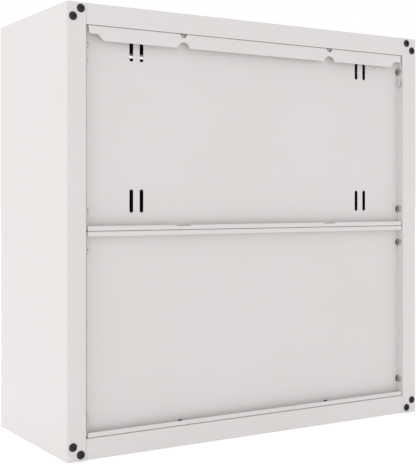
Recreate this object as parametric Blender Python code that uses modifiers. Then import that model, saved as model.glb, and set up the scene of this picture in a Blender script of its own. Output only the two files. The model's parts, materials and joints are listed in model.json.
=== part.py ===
"""Hanging wall cabinet: a flat-pack box of folded steel sheet with two inset doors and one shelf.

Metres, +Z up. The doors face -Y and the wall is at +Y. The origin is the centre of the base's underside.
Depths "into the case" are measured from the wall plane, and "down" is measured from the top.
"""

import math

import bmesh
import bpy
from mathutils import Matrix, Vector

# Case
WIDTH = 0.711
HEIGHT = 0.711
DEPTH = 0.305
SHEET = 0.001  # steel sheet of every panel
THIN_SHEET = 0.0008  # the stiffening channels
FOLD = 0.0015  # outer radius of a fold
FOLD_STEPS = 2
GAP = 0.0003  # left between pieces that touch
SEAM = 0.0005  # left around the back's trays
OVER = 0.001  # how far a cutter reaches past what it cuts
SMALL_HOLE = 0.003  # holes with a smaller radius have fewer sides
SCREW_SHANK = 0.0018  # radius of the zinc-plated screws
SCREW_HOLE = 0.00195  # radius of their clearance holes
PAN_HEAD = 0.0049  # radius of the heads in the trays' flanges
PAN_HEIGHT = 0.0034
CORNER_SCREW_HOLE = 0.0028
HANDLE_SCREW_HOLE = 0.0023
CATCH_SCREW_HOLE = 0.0016
RIVET_HOLE = 0.0015
BARREL_HOLE = 0.0083
DRILL = 0.006  # length of the cutter for a hole through one sheet

EDGE = WIDTH / 2
REAR = DEPTH / 2
FRONT = -DEPTH / 2
STILE = 0.0323  # flange of a side panel, front and rear
INNER = EDGE - STILE  # where the stiles' inner edges and returns stand
REAR_RETURN = 0.030
FRONT_RETURN = 0.040
REAR_RAIL = 0.033  # flange of the top and bottom panels, at the wall
REAR_RAIL_RETURN = 0.015
FRONT_RAIL = 0.031
FRONT_RAIL_RETURN = 0.036
END_FLANGE = 0.015

# Back panels: two shallow trays, open to the wall
TRAY_LIP = 0.001  # the trays' lips stand this far in from the wall plane
TRAY_FACE = 0.0145  # depth of the trays' inner face
TRAY_SEAM = HEIGHT / 2
TRAY_TOP_LIP = 0.0234
TRAY_LIP_HEIGHT = 0.0078
LIP_END = 0.0353  # from the case's side to the end of a lip
FLANGE_DEPTH = 0.0072  # depth of every screw in the trays' flanges
FLANGE_SCREW_X = 0.150
SIDE_SCREW_FROM_MIDDLE = (0.0318, 0.2913)
CLEARANCE_RADIUS = 0.0065  # half-round driver openings at the folds
OPENING_OUT = 0.0012  # how far beyond the side folds their centres lie

# Locking tongues lanced in the upper tray's side flanges
TONGUE_DEPTH = 0.0068
TONGUE_Z = 0.6265
TONGUE_HALF = 0.0034
TONGUE_SLIT = 0.0015
TONGUE_STRETCH = 0.007  # between the centres of the opening's round ends
TONGUE_LEAN = 0.19

# Wall slots in the upper tray
SLOT_WIDTH = 0.0069
SLOT_LENGTH = 0.0376
SLOT_INSETS = (0.116, 0.1342)
SLOT_DOWNS = (0.0651, 0.3084)

# Doors
DOOR_GAP = 0.003  # beside and between the doors
DOOR_END_GAP = 0.006  # above and below them
DOOR_DEPTH = 0.018
DOOR_RETURN = 0.014
DOOR_LOW = FRONT_RAIL + DOOR_END_GAP
DOOR_HIGH = HEIGHT - DOOR_LOW
DOOR_OUTER = INNER - DOOR_GAP
DOOR_INNER = DOOR_GAP / 2
HINGE_X = DOOR_OUTER - 0.008
HINGE_Y = FRONT + 0.006
PIN_RADIUS = 0.0025
BUSH_RADIUS = 0.0034
HANDLE_X = 0.030
HANDLE_Z = 0.300
HANDLE_SPACING = 0.128
HANDLE_REACH = 0.028
HANDLE_RADIUS = 0.005

# Lock on the right door, bolt on the left one
LOCK_X = 0.030
LOCK_Z = DOOR_HIGH - 0.022
CAM_Y = FRONT + 0.0223
CAM_LENGTH = 0.040
CAM_WIDTH = 0.014
CAM_THICKNESS = 0.002
BOLT_X = 0.0085
BOLT_Y = FRONT + DOOR_DEPTH + 0.0055
BOLT_RADIUS = 0.003
BOLT_TIP = DOOR_HIGH
BOLT_LENGTH = 0.075
BOLT_KNOB = 0.040  # from the tip down to the knob

# Shelf and its clips
SHELF_HALF = INNER - 0.002
SHELF_FRONT = FRONT + 0.0305
SHELF_REAR = REAR - TRAY_FACE - 0.003
SHELF_TOP = 0.360
SHELF_HEIGHT = 0.022
SHELF_RETURN = 0.008
CLIP_ROW = SHELF_TOP - SHELF_HEIGHT + 0.0075
CLIP_PITCH = 0.050
CLIP_YS = (FRONT + 0.033, REAR - 0.0235)

# Magnetic catches
CATCH_X = 0.160
CATCH_FRONT = FRONT + DOOR_DEPTH + 0.0022
CATCH_SIZE = (0.044, 0.014, 0.0185)
MAGNET_Z = DOOR_HIGH - 0.007

WHITE = ((0.80, 0.78, 0.775), 0.45, 0.0)
BLACK = ((0.02, 0.02, 0.022), 0.35, 0.0)
ZINC = ((0.62, 0.62, 0.60), 0.30, 1.0)
NYLON = ((0.75, 0.74, 0.70), 0.50, 0.0)
FERRITE = ((0.06, 0.06, 0.065), 0.60, 0.0)
CHROME = ((0.75, 0.75, 0.76), 0.15, 1.0)

X_AXIS = Vector((1, 0, 0))
Y_AXIS = Vector((0, 1, 0))
Z_AXIS = Vector((0, 0, 1))


def clear_scene():
    for obj in list(bpy.data.objects):
        bpy.data.objects.remove(obj)


def new_collection(name):
    collection = bpy.data.collections.new(name)
    bpy.context.scene.collection.children.link(collection)
    return collection


clear_scene()
CABINET = new_collection("hanging_wall_cabinet")
CUTTERS = new_collection("cutters")


# ---- building blocks ----


def new_object(name, bm, collection):
    mesh = bpy.data.meshes.new(name)
    bm.to_mesh(mesh)
    bm.free()
    obj = bpy.data.objects.new(name, mesh)
    collection.objects.link(obj)
    return obj


def finish(obj, look, smooth=True):
    """Gives a part its own material, and shades it smooth across shallow angles."""
    colour, roughness, metallic = look
    material = bpy.data.materials.new(obj.name)
    material.use_nodes = True
    shader = material.node_tree.nodes["Principled BSDF"]
    shader.inputs["Base Color"].default_value = (*colour, 1.0)
    shader.inputs["Roughness"].default_value = roughness
    shader.inputs["Metallic"].default_value = metallic
    obj.data.materials.clear()
    obj.data.materials.append(material)
    if smooth:
        obj.data.shade_smooth()
        obj.data.set_sharp_from_angle(angle=math.radians(35))
    return obj


def box(bm, low, high):
    """Adds a box between two opposite corners, given in either order."""
    a = Vector(low)
    b = Vector(high)
    made = bmesh.ops.create_cube(bm, size=1.0)
    size = Vector([abs(high - low) for low, high in zip(a, b)])
    bmesh.ops.scale(bm, verts=made["verts"], vec=size)
    bmesh.ops.translate(bm, verts=made["verts"], vec=(a + b) / 2)


def rod(bm, centre, axis, radius, length, sides=16, stretch=(0, 0, 0)):
    """Adds a cylinder centred on a point. Stretch pulls its halves apart, which makes an obround."""
    turn = Z_AXIS.rotation_difference(Vector(axis)).to_matrix().to_4x4()
    half_step = Matrix.Rotation(math.pi / sides, 4, "Z")
    made = bmesh.ops.create_cone(
        bm,
        cap_ends=True,
        segments=sides,
        radius1=radius,
        radius2=radius,
        depth=length,
        matrix=turn @ half_step,
    )
    pull = Vector(stretch)
    for vert in made["verts"]:
        vert.co += pull / 2 if vert.co.dot(pull) > 0 else -pull / 2
    bmesh.ops.translate(bm, verts=made["verts"], vec=Vector(centre))


def prism(bm, outline, depth):
    """Adds a flat outline, a list of 3-D points, pushed along the vector depth."""
    face = bm.faces.new([bm.verts.new(point) for point in outline])
    made = bmesh.ops.extrude_face_region(bm, geom=[face])
    moved = [item for item in made["geom"] if isinstance(item, bmesh.types.BMVert)]
    bmesh.ops.translate(bm, verts=moved, vec=Vector(depth))
    bmesh.ops.recalc_face_normals(bm, faces=bm.faces[:])


def ribbon(profile, along, low, high, inside):
    """An open strip: the profile's points joined and swept along an axis, facing away from inside."""
    bm = bmesh.new()
    start = [bm.verts.new(Vector(point) + along * low) for point in profile]
    edges = [bm.edges.new(pair) for pair in zip(start, start[1:])]
    swept = bmesh.ops.extrude_edge_only(bm, edges=edges)
    moved = [item for item in swept["geom"] if isinstance(item, bmesh.types.BMVert)]
    bmesh.ops.translate(bm, verts=moved, vec=along * (high - low))
    bmesh.ops.recalc_face_normals(bm, faces=bm.faces[:])
    bm.normal_update()
    widest = max(bm.faces, key=lambda face: face.calc_area())
    if widest.normal.dot(widest.calc_center_median() - Vector(inside)) < 0:
        bmesh.ops.reverse_faces(bm, faces=bm.faces[:])
    return bm


def open_tray(low, high, open_side, rim):
    """A box's surface with one side open but for a rim. Open_side is the unit vector out of it."""
    bm = bmesh.new()
    box(bm, low, high)
    bm.normal_update()
    lid = max(bm.faces, key=lambda face: face.normal.dot(open_side))
    bmesh.ops.inset_region(bm, faces=[lid], thickness=rim, use_even_offset=True)
    bmesh.ops.delete(bm, geom=[lid], context="FACES")
    return bm


def folded(name, bm, look=WHITE, sheet=SHEET, fold=FOLD):
    """A sheet-metal part from an open surface: rounds its folds and gives it thickness inwards."""
    obj = new_object(name, bm, CABINET)
    bend = obj.modifiers.new("Folds", "BEVEL")
    bend.width = fold
    bend.segments = FOLD_STEPS
    bend.limit_method = "ANGLE"
    thickness = obj.modifiers.new("Sheet", "SOLIDIFY")
    thickness.thickness = sheet
    thickness.offset = -1
    thickness.use_even_offset = True
    finish(obj, look)
    return obj


def combine(obj, operation, bm):
    """Adds the solids in bm to a part or cuts them from it, keeping them as a hidden helper."""
    helper = new_object(f"{obj.name}_{operation.lower()}_{len(obj.modifiers)}", bm, CUTTERS)
    helper.hide_render = True
    helper.display_type = "WIRE"
    boolean = obj.modifiers.new(operation.title(), "BOOLEAN")
    boolean.operation = operation
    boolean.solver = "EXACT"
    boolean.object = helper


def boxes(*corners):
    bm = bmesh.new()
    for low, high in corners:
        box(bm, low, high)
    return bm


def join_boxes(obj, *corners):
    combine(obj, "UNION", boxes(*corners))


def cut_boxes(obj, *corners):
    combine(obj, "DIFFERENCE", boxes(*corners))


def cut_rods(obj, *rods):
    """Each rod is centre, axis, radius, length and, for an obround, the stretch."""
    bm = bmesh.new()
    for centre, axis, radius, length, *stretch in rods:
        sides = 12 if radius < SMALL_HOLE else 16
        rod(bm, centre, axis, radius, length, sides, *stretch)
    combine(obj, "DIFFERENCE", bm)


def baked_mesh(obj):
    """The mesh that an object's modifiers make."""
    graph = bpy.context.evaluated_depsgraph_get()
    return bpy.data.meshes.new_from_object(obj.evaluated_get(graph))


def turned(name, profile, look, sides=16, closed=False):
    """A solid of revolution about +Z. The profile's (radius, height) points run from top to bottom."""
    bm = bmesh.new()
    verts = [bm.verts.new((radius, 0, height)) for radius, height in profile]
    ends = verts[1:] + (verts[:1] if closed else [])
    for pair in zip(verts, ends):
        bm.edges.new(pair)
    obj = new_object(name, bm, CABINET)
    screw = obj.modifiers.new("Turn", "SCREW")
    screw.steps = sides
    screw.render_steps = sides
    screw.use_merge_vertices = True
    screw.merge_threshold = 0.00001
    screw.use_smooth_shade = True
    finish(obj, look, smooth=False)
    return obj


def placed(obj, position, axis=Z_AXIS):
    """Moves a part and its helpers, and turns their +Z to the axis."""
    helpers = [modifier.object for modifier in obj.modifiers if modifier.type == "BOOLEAN"]
    for piece in [obj] + helpers:
        piece.rotation_mode = "QUATERNION"
        piece.rotation_quaternion = Z_AXIS.rotation_difference(Vector(axis))
        piece.location = position
    return obj


def repeated(pattern, places, look):
    """Turns one fastener into copies that share its mesh: each place is a name, a position and an axis."""
    mesh = baked_mesh(pattern)
    bpy.data.objects.remove(pattern)
    copies = []
    for name, position, axis in places:
        copy = bpy.data.objects.new(name, mesh)
        CABINET.objects.link(copy)
        copies.append(placed(copy, position, axis))
    finish(copies[0], look)
    return copies


# Outlines of a screw's head from its middle to its edge, as shares of its radius and height
DOMED = [(math.sin(angle), math.cos(angle)) for angle in (0.0, 0.5, 0.95, 1.3)]
PAN = [(0.0, 1.0), (0.80, 1.0), (0.94, 0.92), (1.0, 0.75)]


def socket_screw(name, look, outline, head_radius, head_height, shank_radius, shank_length, sides=16):
    """A screw, head up, with the underside of its head at the origin and a hexagon socket."""
    profile = [
        *[(head_radius * across, head_height * up) for across, up in outline],
        (head_radius, 0.0),
        (shank_radius, 0.0),
        (shank_radius, -shank_length),
        (0.0, -shank_length),
    ]
    obj = turned(name, profile, look, sides)
    socket = bmesh.new()
    depth = head_height * 0.6
    centre = (0, 0, head_height - depth / 2 + OVER / 2)
    rod(socket, centre, Z_AXIS, head_radius * 0.33, depth + OVER, 6)
    combine(obj, "DIFFERENCE", socket)
    return obj


def mirrored_x(point, side):
    return (side * point[0], point[1], point[2])


def side_name(side):
    return "right" if side > 0 else "left"


def from_top(down):
    return HEIGHT - down


def from_base(up):
    return up


# ---- where the fasteners sit ----

CORNER_SCREWS = ((0.0229, 0.0093), (0.0099, 0.0225))  # in from the side, in from the top or base
FRONT_SCREW_Y = FRONT + 0.009
FRONT_SCREW_INSETS = (0.010, 0.022)
SIDE_SCREW_ZS = [
    HEIGHT / 2 + sign * offset for sign in (-1, 1) for offset in SIDE_SCREW_FROM_MIDDLE
]
CLIP_ROWS = [CLIP_ROW + CLIP_PITCH * step for step in range(-4, 5)]
CATCH_SCREWS = [
    (side * (CATCH_X + sign * 0.017), CATCH_FRONT + CATCH_SIZE[1] / 2)
    for side in (-1, 1)
    for sign in (-1, 1)
]


# ---- case ----


def side_panel(side):
    """One channel: the outer wall, a front and a rear stile, and the stiles' returns."""
    profile = [
        (INNER, REAR - REAR_RETURN, 0),
        (INNER, REAR, 0),
        (EDGE, REAR, 0),
        (EDGE, FRONT, 0),
        (INNER, FRONT, 0),
        (INNER, FRONT + FRONT_RETURN, 0),
    ]
    profile = [mirrored_x(point, side) for point in profile]
    inside = (side * (EDGE - STILE / 2), 0, HEIGHT / 2)
    obj = folded(f"{side_name(side)}_side_panel", ribbon(profile, Z_AXIS, 0, HEIGHT, inside))

    # The returns stop short of the top and bottom panels
    trim = SHEET + GAP
    clear = SHEET + GAP / 2
    near = side * (INNER - OVER)
    far = side * (INNER + 2 * OVER)
    ends = ((-OVER, trim), (HEIGHT - trim, HEIGHT + OVER))
    depths = (
        (REAR - REAR_RETURN - OVER, REAR - clear),
        (FRONT + clear, FRONT + FRONT_RETURN + OVER),
    )
    cut_boxes(
        obj,
        *[((near, y0, z0), (far, y1, z1)) for z0, z1 in ends for y0, y1 in depths],
    )

    # Beside the rails a stile's edge is square, so that the joint closes to a fine line
    square = []
    for level in (from_top, from_base):
        for rail, face, inward in ((REAR_RAIL, REAR, -SHEET), (FRONT_RAIL, FRONT, SHEET)):
            low = (side * INNER, face, level(0))
            square.append((low, (side * (INNER + 2 * FOLD), face + inward, level(rail))))
    join_boxes(obj, *square)

    holes = []
    for level in (from_top, from_base):
        for inset, drop in CORNER_SCREWS:
            holes.append(((side * (EDGE - inset), REAR, level(drop)), Y_AXIS, CORNER_SCREW_HOLE, DRILL))
        for drop in FRONT_SCREW_INSETS:
            holes.append(((side * INNER, FRONT_SCREW_Y, level(drop)), X_AXIS, SCREW_HOLE, DRILL))
    for z in SIDE_SCREW_ZS:
        holes.append(((side * INNER, REAR - FLANGE_DEPTH, z), X_AXIS, SCREW_HOLE, DRILL))
    cut_rods(obj, *holes)

    slot = Vector((0.003, 0.0015, 0.006))
    centres = [Vector((side * INNER, y, z)) for y in CLIP_YS for z in CLIP_ROWS]
    cut_boxes(obj, *[(centre - slot, centre + slot) for centre in centres])
    return obj


def cover_panel(name, level):
    """The top or bottom: a flat wall with rails folded down at front and rear, tabs and end flanges."""
    profile = [
        (0, REAR - REAR_RAIL_RETURN, level(REAR_RAIL)),
        (0, REAR, level(REAR_RAIL)),
        (0, REAR, level(0)),
        (0, FRONT, level(0)),
        (0, FRONT, level(FRONT_RAIL)),
        (0, FRONT + FRONT_RAIL_RETURN, level(FRONT_RAIL)),
    ]
    half = EDGE - SHEET - GAP
    obj = folded(name, ribbon(profile, X_AXIS, -half, half, (0, 0, level(FRONT_RAIL / 2))))

    # Rails and returns run between the stiles; the wall reaches in behind the stiles
    rail_end = INNER - GAP
    below_wall = 3 * SHEET
    slices = []
    returns = []
    for side in (-1, 1):
        near = side * rail_end
        far = side * EDGE
        slices += [
            (
                (near, REAR - SHEET - GAP, level(-OVER)),
                (far, REAR + OVER, level(REAR_RAIL + OVER)),
            ),
            (
                (near, FRONT - OVER, level(-OVER)),
                (far, FRONT + SHEET + GAP, level(FRONT_RAIL + OVER)),
            ),
        ]
        returns += [
            (
                (near, REAR - REAR_RAIL_RETURN - OVER, level(below_wall)),
                (far, REAR - SHEET, level(REAR_RAIL + OVER)),
            ),
            (
                (near, FRONT + SHEET, level(below_wall)),
                (far, FRONT + FRONT_RAIL_RETURN + OVER, level(FRONT_RAIL + OVER)),
            ),
        ]
    cut_boxes(obj, *slices)
    cut_boxes(obj, *returns)

    tabs = []
    for side in (-1, 1):
        rear_tab_y = REAR - SHEET - GAP
        tabs += [
            (
                (side * (INNER + SHEET + GAP), rear_tab_y - SHEET, level(SHEET / 2)),
                (side * (EDGE - SHEET - GAP), rear_tab_y, level(REAR_RAIL - 0.002)),
            ),
            (
                (side * (half - SHEET), FRONT + 0.045, level(SHEET / 2)),
                (side * half, REAR - 0.045, level(END_FLANGE)),
            ),
            (
                (side * (rail_end - SHEET), FRONT + SHEET / 2, level(0.002)),
                (side * rail_end, FRONT + 0.017, level(FRONT_RAIL - 0.002)),
            ),
        ]
    join_boxes(obj, *tabs)

    holes = []
    for side in (-1, 1):
        for inset, drop in CORNER_SCREWS:
            centre = (side * (EDGE - inset), REAR, level(drop))
            holes.append((centre, Y_AXIS, CORNER_SCREW_HOLE, DRILL + 2 * OVER))
        for drop in FRONT_SCREW_INSETS:
            holes.append(((side * rail_end, FRONT_SCREW_Y, level(drop)), X_AXIS, SCREW_HOLE, DRILL))
        flange = (side * FLANGE_SCREW_X, REAR - FLANGE_DEPTH, level(REAR_RAIL))
        holes.append((flange, Z_AXIS, SCREW_HOLE, DRILL))
        holes.append(((side * HINGE_X, HINGE_Y, level(FRONT_RAIL)), Z_AXIS, PIN_RADIUS + GAP, DRILL))
    cut_rods(obj, *holes)
    return obj


def top_panel():
    """The top also takes the catches' screws, the lock's cam and the left door's bolt."""
    obj = cover_panel("top_panel", from_top)
    z = from_top(FRONT_RAIL)
    holes = [((x, y, z), Z_AXIS, CATCH_SCREW_HOLE, DRILL) for x, y in CATCH_SCREWS]
    holes.append(((-BOLT_X, BOLT_Y, z), Z_AXIS, BOLT_RADIUS + 0.001, DRILL))
    cut_rods(obj, *holes)
    cam_middle = CAM_Y + CAM_THICKNESS / 2
    swing = CAM_LENGTH + 0.002
    cut_boxes(
        obj,
        (
            (LOCK_X - CAM_WIDTH / 2 - 0.003, cam_middle - 0.0025, z - 0.003),
            (LOCK_X + swing, cam_middle + 0.0025, z + 0.003),
        ),
    )
    return obj


# ---- back ----


def back_tray(name, top, bottom, top_lip, bottom_lip):
    """A tray open to the wall. Top and bottom are how far down its flanges lie."""
    lip = REAR - TRAY_LIP
    face = REAR - TRAY_FACE
    profile = [
        (0, lip, from_top(top + top_lip)),
        (0, lip, from_top(top)),
        (0, face, from_top(top)),
        (0, face, from_top(bottom)),
        (0, lip, from_top(bottom)),
        (0, lip, from_top(bottom - bottom_lip)),
    ]
    half = INNER - GAP
    middle = (0, REAR, from_top((top + bottom) / 2))
    obj = folded(name, ribbon(profile, X_AXIS, -half, half, middle))
    corners = []
    sides = []
    for side in (-1, 1):
        near = side * (EDGE - LIP_END)
        far = side * EDGE
        for down, lip_height in ((top, top_lip), (bottom, -bottom_lip)):
            outer = down - math.copysign(OVER, lip_height)
            inner = down + lip_height + math.copysign(OVER, lip_height)
            corners.append(
                ((near, face + 0.002, from_top(outer)), (far, REAR, from_top(inner)))
            )
        sides.append(
            (
                (side * (half - SHEET), face, from_top(top + 0.003)),
                (side * half, lip, from_top(bottom - 0.003)),
            )
        )
    cut_boxes(obj, *corners)
    join_boxes(obj, *sides)
    return obj


def flange_holes(down):
    """Screw holes through a tray's horizontal flange."""
    return [
        ((side * FLANGE_SCREW_X, REAR - FLANGE_DEPTH, from_top(down)), Z_AXIS, SCREW_HOLE, DRILL)
        for side in (-1, 1)
    ]


def side_flange_holes(zs):
    """Screw holes through a tray's side flanges."""
    return [
        ((side * (INNER - SHEET), REAR - FLANGE_DEPTH, z), X_AXIS, SCREW_HOLE, DRILL)
        for side in (-1, 1)
        for z in zs
    ]


def fold_openings(places):
    """Round driver openings in the tray's face, each centred on a fold."""
    depth = 0.004
    y = REAR - TRAY_FACE + SHEET / 2
    return [((x, y, z), Y_AXIS, CLEARANCE_RADIUS, depth) for x, z in places]


def arc(centre, radius, start, end, steps):
    """Points on an arc in the plane of the wall: x to the side, and down; angles in degrees."""
    angles = [math.radians(start + (end - start) * step / steps) for step in range(steps + 1)]
    return [
        (centre[0] + radius * math.cos(angle), centre[1] + radius * math.sin(angle))
        for angle in angles
    ]


def notch_outline(centre_x, edge_down, depth, radius, shoulder):
    """A round notch with eased shoulders, cut up into an edge that lies edge_down from the top."""
    centre_down = edge_down - depth + radius
    reach = radius + shoulder
    rise = edge_down - shoulder - centre_down
    offset = math.sqrt(reach * reach - rise * rise)
    lean = math.degrees(math.atan2(-rise, offset))
    right = arc((centre_x + offset, edge_down - shoulder), shoulder, 90, 180 - lean, 3)
    bow = arc((centre_x, centre_down), radius, -lean, lean - 180, 10)
    left = arc((centre_x - offset, edge_down - shoulder), shoulder, lean, 90, 3)
    below = edge_down + OVER
    return [
        (centre_x + offset, below),
        *right,
        *bow[1:-1],
        *left,
        (centre_x - offset, below),
    ]


def strip_end_outline(side, edge_down):
    """What is cut from the end of the deep lip: its slanted end and the curved step beside it."""
    step_down = edge_down - 0.0102
    outer = EDGE - 0.030
    points = [(outer, step_down - 0.015), (EDGE - 0.0359, step_down - 0.015)]
    points += arc((EDGE - 0.0392, step_down - 0.0015), 0.0015, 0, 90, 3)
    points += arc((EDGE - 0.0505, step_down + 0.0040), 0.0040, -90, -135, 3)
    points += [(EDGE - 0.0618, edge_down), (EDGE - 0.0622, edge_down + OVER)]
    points += [(outer, edge_down + OVER)]
    return [(side * x, down) for x, down in points]


def cut_outlines(obj, outlines):
    """Cuts outlines, in x and down, through a tray's lip."""
    bm = bmesh.new()
    for outline in outlines:
        points = [(x, REAR, from_top(down)) for x, down in outline]
        prism(bm, points, (0, -0.0025, 0))
    combine(obj, "DIFFERENCE", bm)


def add_tongues(obj):
    """A tongue in each side flange: rooted above, with its round free end bent towards the middle."""
    root = TONGUE_STRETCH / 2 + TONGUE_HALF + TONGUE_SLIT + 0.001
    end = arc((0, -TONGUE_STRETCH / 2), TONGUE_HALF, 0, -180, 8)
    outline = [(TONGUE_HALF, root), *end, (-TONGUE_HALF, root)]
    bm = bmesh.new()
    for side in (-1, 1):
        flange = INNER - GAP
        points = [
            (side * (flange - TONGUE_LEAN * (root - up)), REAR - TONGUE_DEPTH + along, TONGUE_Z + up)
            for along, up in outline
        ]
        prism(bm, points, (-side * SHEET, 0, 0))
    combine(obj, "UNION", bm)


def upper_back_panel():
    top = REAR_RAIL + SEAM
    bottom = TRAY_SEAM - SEAM / 2
    obj = back_tray("upper_back_panel", top, bottom, TRAY_TOP_LIP, TRAY_LIP_HEIGHT)
    edge_down = top + TRAY_TOP_LIP
    notches = [
        notch_outline(side * FLANGE_SCREW_X, edge_down, 0.0095, 0.0112, 0.003)
        for side in (-1, 1)
    ]
    cut_outlines(obj, notches + [strip_end_outline(side, edge_down) for side in (-1, 1)])

    zs = [z for z in SIDE_SCREW_ZS if z > HEIGHT / 2]
    flange_x = INNER - GAP - SHEET
    holes = flange_holes(top) + flange_holes(bottom) + side_flange_holes(zs)
    holes += fold_openings([(side * (flange_x + OPENING_OUT), z) for side in (-1, 1) for z in zs])
    for side in (-1, 1):
        # Driver opening in the deep lip's fold
        opening = (side * FLANGE_SCREW_X, REAR, from_top(top))
        holes.append((opening, Y_AXIS, CLEARANCE_RADIUS, 0.005))
        # What is lanced out around the locking tongue in the side flange
        lance = (side * flange_x, REAR - TONGUE_DEPTH, TONGUE_Z)
        radius = TONGUE_HALF + TONGUE_SLIT
        holes.append((lance, X_AXIS, radius, DRILL, (0, 0, TONGUE_STRETCH)))
        # Wall slots
        for inset in SLOT_INSETS:
            for down in SLOT_DOWNS:
                centre = (side * (EDGE - inset), REAR - TRAY_FACE, from_top(down))
                stretch = (0, 0, SLOT_LENGTH - SLOT_WIDTH)
                holes.append((centre, Y_AXIS, SLOT_WIDTH / 2, DRILL, stretch))
    cut_rods(obj, *holes)
    add_tongues(obj)

    lip_top = bottom - TRAY_LIP_HEIGHT
    low = [(side * FLANGE_SCREW_X - 0.013, REAR, from_top(lip_top + 0.0021)) for side in (-1, 1)]
    size = Vector((0.026, -0.0025, 0.0021 + OVER))
    cut_boxes(obj, *[(corner, Vector(corner) + size) for corner in low])
    return obj


def lower_back_panel():
    top = TRAY_SEAM + SEAM / 2
    bottom = HEIGHT - REAR_RAIL - SEAM
    obj = back_tray("lower_back_panel", top, bottom, TRAY_LIP_HEIGHT, TRAY_LIP_HEIGHT)
    zs = [z for z in SIDE_SCREW_ZS if z < HEIGHT / 2]
    flange_x = INNER - GAP - SHEET
    holes = flange_holes(top) + flange_holes(bottom) + side_flange_holes(zs)
    holes += fold_openings([(side * (flange_x + OPENING_OUT), z) for side in (-1, 1) for z in zs])
    low = from_top(bottom - SHEET)
    holes += fold_openings([(side * FLANGE_SCREW_X, low) for side in (-1, 1)])
    cut_rods(obj, *holes)
    return obj


# ---- shelf ----


def shelf():
    low = (-SHELF_HALF, SHELF_FRONT, SHELF_TOP - SHELF_HEIGHT)
    high = (SHELF_HALF, SHELF_REAR, SHELF_TOP)
    return folded("shelf", open_tray(low, high, -Z_AXIS, SHELF_RETURN))


def hat_profile(foot, crown, height):
    """A hat channel's outer section: across, and out from the face it is welded to."""
    slope = 0.003
    half = [
        (crown / 2 + slope + foot, THIN_SHEET),
        (crown / 2 + slope, THIN_SHEET),
        (crown / 2, height),
    ]
    return [(-x, out) for x, out in half] + list(reversed(half))


def shelf_rib():
    middle = (SHELF_FRONT + SHELF_REAR) / 2
    face = SHELF_TOP - SHEET - GAP
    profile = [(0, middle + across, face - out) for across, out in hat_profile(0.010, 0.030, 0.014)]
    half = SHELF_HALF - 0.012
    return folded("shelf_rib", ribbon(profile, X_AXIS, -half, half, (0, middle, face)), sheet=THIN_SHEET)


def shelf_clip(side, y, name):
    """A zinc-plated clip: a plate on the stile's return, a hook through its slot, and a ledge."""
    plate = 0.0012
    half = 0.006
    face = INNER - GAP
    ledge_top = SHELF_TOP - SHELF_HEIGHT - GAP
    hook_low = CLIP_ROW - 0.006 + GAP
    behind = INNER + SHEET + GAP
    bm = boxes(
        ((side * (face - plate), y - half, ledge_top - plate), (side * face, y + half, CLIP_ROW + 0.005))
    )
    obj = finish(new_object(name, bm, CABINET), ZINC, smooth=False)
    join_boxes(
        obj,
        (
            (side * (face - 0.015), y - half, ledge_top - plate),
            (side * (face - plate / 2), y + half, ledge_top),
        ),
    )
    join_boxes(
        obj,
        (
            (side * (face - plate / 2), y - plate, hook_low),
            (side * (behind + plate), y + plate, hook_low + 0.003),
        ),
    )
    join_boxes(
        obj,
        (
            (side * behind, y - plate, hook_low - 0.004),
            (side * (behind + plate), y + plate, hook_low + plate),
        ),
    )
    return obj


# ---- fasteners of the case ----


def rear_corner_screws():
    """Black button-head screws, two at each corner of the back."""
    places = []
    for side in (-1, 1):
        for end, level in (("upper", from_top), ("lower", from_base)):
            for row, (inset, drop) in zip(("inner", "outer"), CORNER_SCREWS):
                name = f"rear_corner_screw_{end}_{side_name(side)}_{row}"
                place = (side * (EDGE - inset), REAR + GAP, level(drop))
                places.append((name, place, Y_AXIS))
    screw = socket_screw("screw_pattern", BLACK, DOMED, 0.0067, 0.0032, 0.0023, 0.009)
    repeated(screw, places, BLACK)


def back_side_screws():
    """Zinc-plated screws through the trays' side flanges, with their heads towards the middle."""
    head = INNER - 2 * GAP - SHEET
    places = []
    for side in (-1, 1):
        for number, z in enumerate(sorted(SIDE_SCREW_ZS), 1):
            place = (side * head, REAR - FLANGE_DEPTH, z)
            places.append((f"back_side_screw_{side_name(side)}_{number}", place, -side * X_AXIS))
    screw = socket_screw("screw_pattern", ZINC, PAN, PAN_HEAD, PAN_HEIGHT, SCREW_SHANK, 0.010)
    repeated(screw, places, ZINC)


def back_top_screws():
    """Screws up through the upper tray's flange into the top rail's return."""
    z = from_top(REAR_RAIL + SEAM + GAP + SHEET)
    places = [
        (
            f"back_top_screw_{side_name(side)}",
            (side * FLANGE_SCREW_X, REAR - FLANGE_DEPTH, z),
            -Z_AXIS,
        )
        for side in (-1, 1)
    ]
    screw = socket_screw("screw_pattern", ZINC, PAN, PAN_HEAD, PAN_HEIGHT, SCREW_SHANK, 0.008)
    repeated(screw, places, ZINC)


# ---- doors ----


def hinge_pins(side):
    """Headed pins dropped through the top rail and pushed up through the bottom one."""
    pins = []
    for where, level in (("upper", from_top), ("lower", from_base)):
        inward = level(1) - level(0)
        head = level(FRONT_RAIL - SHEET - GAP)
        length = SHEET + GAP + DOOR_END_GAP + 0.006
        profile = [
            (0.0, 0.002),
            (0.0042, 0.002),
            (0.0042, 0.0),
            (PIN_RADIUS, 0.0),
            (PIN_RADIUS, -length + 0.0008),
            (PIN_RADIUS - 0.0008, -length),
            (0.0, -length),
        ]
        pin = turned(f"{side_name(side)}_{where}_hinge_pin", profile, ZINC, 16)
        pins.append(placed(pin, (side * HINGE_X, HINGE_Y, head), -inward * Z_AXIS))
    return pins


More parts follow.
